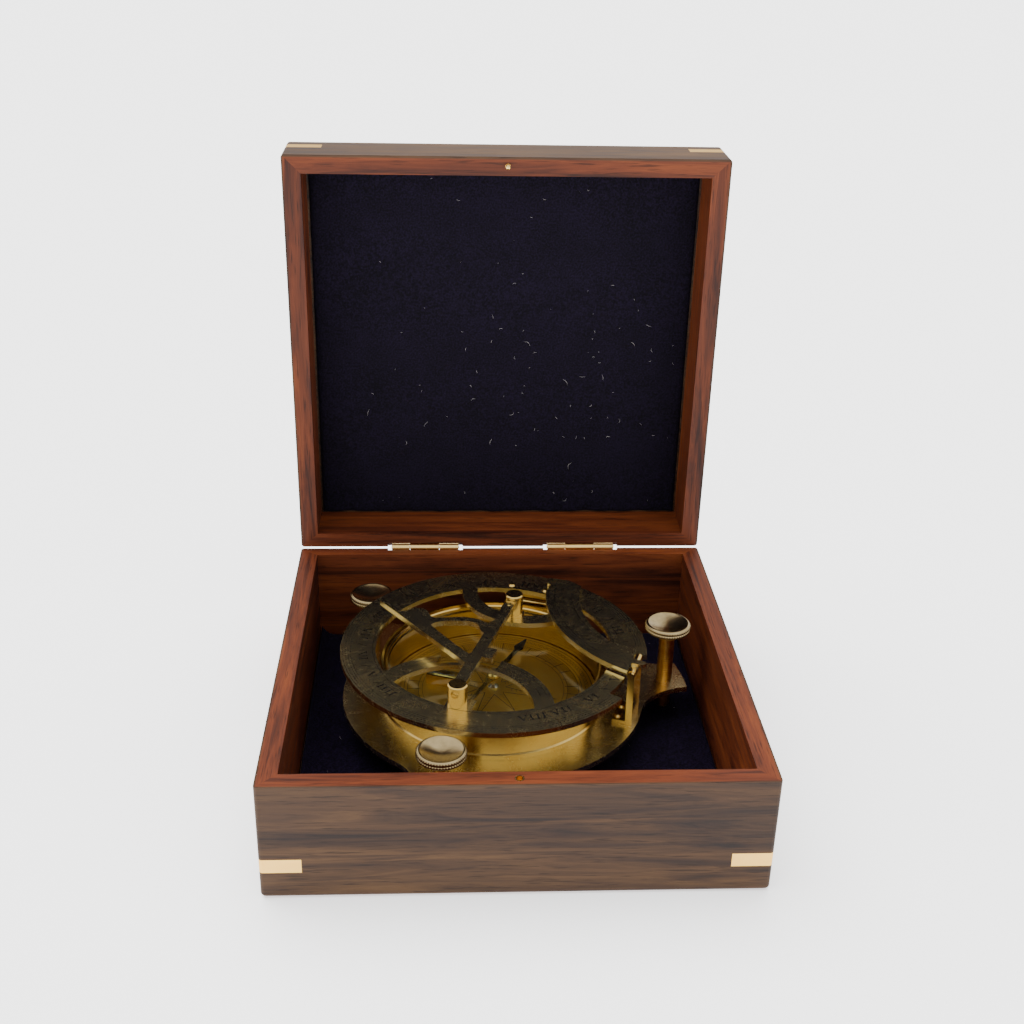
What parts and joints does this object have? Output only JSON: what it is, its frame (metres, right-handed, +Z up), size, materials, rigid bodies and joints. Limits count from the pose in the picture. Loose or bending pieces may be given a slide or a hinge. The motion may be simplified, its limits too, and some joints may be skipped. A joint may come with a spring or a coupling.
{
  "type": "boxed inclining sundial compass",
  "caption": "Brass inclining sundial with folding gnomon, latitude arc, tilting hour ring, compass and levelling screws, lying in a hinged velvet-lined wooden box.",
  "frame": {"origin": "middle of the underside of the box", "axes": "+Z up, +X to the right seen from the front of the box, +Y towards the hinges; the lid stands open and the dial is folded"},
  "size_m": [0.16, 0.1795, 0.1987],
  "materials": {
    "rosewood": "waxed, open-grained rosewood",
    "plain_wood": "sawn and stained board",
    "navy_velvet": "short-pile cotton velvet",
    "polished_brass": "polished and lacquered",
    "plain_brass": "sanded and waxed",
    "clear_glass": "clear",
    "blued_steel": "blued",
    "bright_steel": "bright"
  },
  "bodies": {
    "box_base": {"base_front_wall": "rosewood", "base_back_wall": "rosewood", "base_left_wall": "rosewood", "base_right_wall": "rosewood", "base_floor_panel": "plain_wood", "base_velvet_lining": "navy_velvet", "base_corner_inlays": "plain_brass", "base_hinge_brads": "plain_brass", "catch_socket": "plain_brass", "base_hinge_leaf_left": "plain_brass", "base_hinge_leaf_right": "plain_brass", "box_hinge_pin_left": "plain_brass", "box_hinge_pin_right": "plain_brass"},
    "lid": {"lid_front_wall": "rosewood", "lid_back_wall": "rosewood", "lid_left_wall": "rosewood", "lid_right_wall": "rosewood", "lid_top_panel": "rosewood", "lid_velvet_lining": "navy_velvet", "lid_corner_inlays": "plain_brass", "lid_hinge_brads": "plain_brass", "catch_ball_stud": "plain_brass", "lid_hinge_leaf_left": "plain_brass", "lid_hinge_leaf_right": "plain_brass"},
    "instrument": {"base_plate": "polished_brass", "bowl_screws": "polished_brass", "ring_bracket_screws": "polished_brass", "latitude_bracket_screws": "polished_brass", "compass_bowl": "polished_brass", "compass_dial": "polished_brass", "compass_glass": "clear_glass", "glass_retaining_ring": "polished_brass", "needle_pivot": "bright_steel", "level_holder": "polished_brass", "level_vial": "clear_glass", "ring_hinge_bracket": "polished_brass", "ring_hinge_pin": "polished_brass", "latitude_bracket": "polished_brass", "latitude_hinge_pin": "polished_brass"},
    "east_screw": {"east_levelling_screw": "polished_brass", "east_screw_knob": "polished_brass"},
    "west_screw": {"west_levelling_screw": "polished_brass", "west_screw_knob": "polished_brass"},
    "south_screw": {"south_levelling_screw": "polished_brass", "south_screw_knob": "polished_brass"},
    "needle": {"compass_needle": "blued_steel", "needle_cap": "polished_brass"},
    "hour_ring": {"hour_ring": "polished_brass", "ring_hinge_leaf": "polished_brass", "ring_hinge_rivets": "polished_brass", "gnomon_front_post": "polished_brass", "gnomon_back_post": "polished_brass"},
    "gnomon": {"gnomon": "polished_brass"},
    "latitude_arc": {"latitude_arc": "polished_brass"}
  },
  "joints": [
    {"name": "lid_hinge", "type": "hinge", "parent": "box_base", "child": "lid", "pos_m": [0, 0.0778, 0.04283], "axis": [-1, 0, 0], "range_deg": [-89.15, 0]},
    {"name": "instrument_lift", "type": "slide", "parent": "box_base", "child": "instrument", "axis": [0, 0, 1], "range_m": [0, 0.08]},
    {"name": "ring_tilt", "type": "hinge", "parent": "instrument", "child": "hour_ring", "pos_m": [0.011, 0.05326, 0.0312], "axis": [-0.9421, 0.3355, 0], "range_deg": [0, 60]},
    {"name": "arc_fold", "type": "hinge", "parent": "instrument", "child": "latitude_arc", "pos_m": [0.04342, -0.00924, 0.04035], "axis": [0.3355, 0.9421, 0], "range_deg": [0, 90]},
    {"name": "gnomon_fold", "type": "hinge", "parent": "hour_ring", "child": "gnomon", "pos_m": [-0.0051, 0.00804, 0.0447], "axis": [0.3355, 0.9421, 0], "range_deg": [0, 90]},
    {"name": "needle_spin", "type": "hinge", "parent": "instrument", "child": "needle", "pos_m": [-0.0051, 0.00804, 0.026], "axis": [0, 0, 1], "continuous": true},
    {"name": "east_screw_turn", "type": "hinge", "parent": "instrument", "child": "east_screw", "pos_m": [0.05897, 0.01704, 0.0429], "axis": [0, 0, 1], "range_deg": [-360, 360]},
    {"name": "west_screw_turn", "type": "hinge", "parent": "instrument", "child": "west_screw", "pos_m": [-0.05073, 0.05089, 0.037], "axis": [0, 0, 1], "range_deg": [-360, 360]},
    {"name": "south_screw_turn", "type": "hinge", "parent": "instrument", "child": "south_screw", "pos_m": [-0.02382, -0.05169, 0.037], "axis": [0, 0, 1], "range_deg": [-360, 360]}
  ],
  "couplings": [
    {"joint": "arc_fold", "follows": "ring_tilt", "ratio": 1.5}
  ]
}
